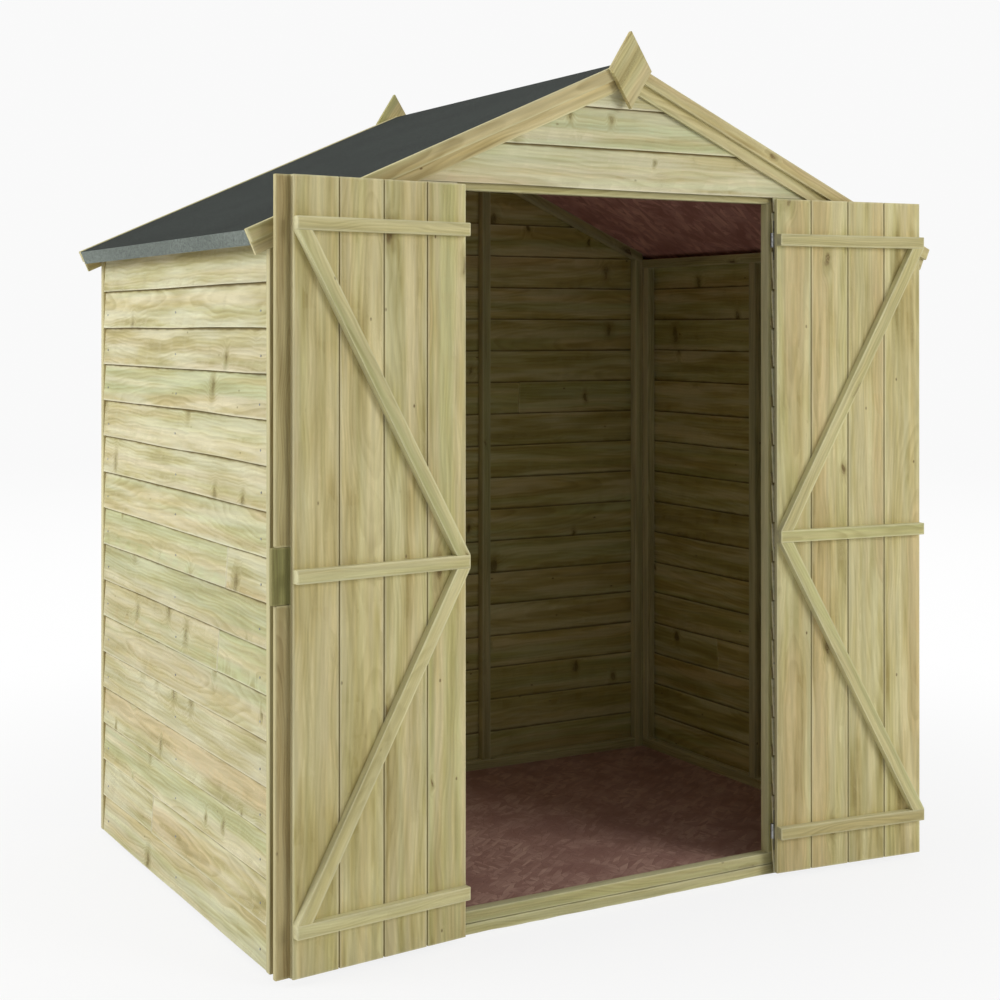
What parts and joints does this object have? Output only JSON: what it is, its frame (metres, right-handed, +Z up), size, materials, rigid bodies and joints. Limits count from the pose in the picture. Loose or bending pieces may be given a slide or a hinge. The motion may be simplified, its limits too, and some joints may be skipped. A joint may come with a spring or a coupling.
{
  "type": "wooden garden shed",
  "caption": "Small apex-roofed timber garden shed with lapped board walls, a felted roof and a pair of ledged and braced doors that swing open.",
  "frame": {"origin": "centre of the shed's base on the ground, under the middle bearer", "axes": "+Z up, the doorway faces -Y, +X to the right seen from the front"},
  "size_m": [1.9476, 1.3503, 2.106],
  "materials": {
    "clad_timber": "pressure-treated pine, rough sawn lap boards",
    "door_timber": "pressure-treated pine, planed matchboard",
    "frame_timber": "pressure-treated pine, rough sawn battens",
    "trim_timber": "pressure-treated pine, planed trim",
    "sheet_board": "oriented strand board",
    "felt": "mineral roofing felt",
    "galvanised_steel": "zinc-plated hinges"
  },
  "bodies": {
    "shed": {"right_wall_cladding": "clad_timber", "left_wall_cladding": "clad_timber", "back_wall_cladding": "clad_timber", "front_right_cladding": "clad_timber", "front_left_cladding": "clad_timber", "front_gable_cladding": "clad_timber", "floor_bearers": "frame_timber", "doorway_strip": "frame_timber", "right_wall_rails": "frame_timber", "right_wall_uprights": "frame_timber", "left_wall_rails": "frame_timber", "left_wall_uprights": "frame_timber", "back_wall_uprights": "frame_timber", "back_bottom_rail": "frame_timber", "front_corner_uprights": "frame_timber", "door_jambs": "frame_timber", "door_head_rail": "frame_timber", "front_bottom_rail": "frame_timber", "right_gable_rails": "frame_timber", "left_gable_rails": "frame_timber", "eave_battens": "frame_timber", "corner_strips": "trim_timber", "right_bargeboards": "trim_timber", "left_bargeboards": "trim_timber", "right_barge_strips": "trim_timber", "left_barge_strips": "trim_timber", "finials": "trim_timber", "floor_sheet": "sheet_board", "right_roof_sheet": "sheet_board", "left_roof_sheet": "sheet_board", "roof_felt": "felt", "right_hinge_plates": "galvanised_steel", "left_hinge_plates": "galvanised_steel"},
    "left_door": {"left_door_leaf": "door_timber", "left_door_ledges": "door_timber", "left_door_braces": "door_timber", "left_door_cover_strip": "door_timber", "left_door_lock_block": "door_timber", "left_door_hinge_straps": "galvanised_steel"},
    "right_door": {"right_door_leaf": "door_timber", "right_door_ledges": "door_timber", "right_door_braces": "door_timber", "right_door_hinge_straps": "galvanised_steel"}
  },
  "joints": [
    {"name": "left_door_hinge", "type": "hinge", "parent": "shed", "child": "left_door", "pos_m": [-0.4475, -0.621, 0.8675], "axis": [0, 0, 1], "range_deg": [0, 174.3]},
    {"name": "right_door_hinge", "type": "hinge", "parent": "shed", "child": "right_door", "pos_m": [0.4475, -0.621, 0.8675], "axis": [0, 0, -1], "range_deg": [0, 174]}
  ]
}
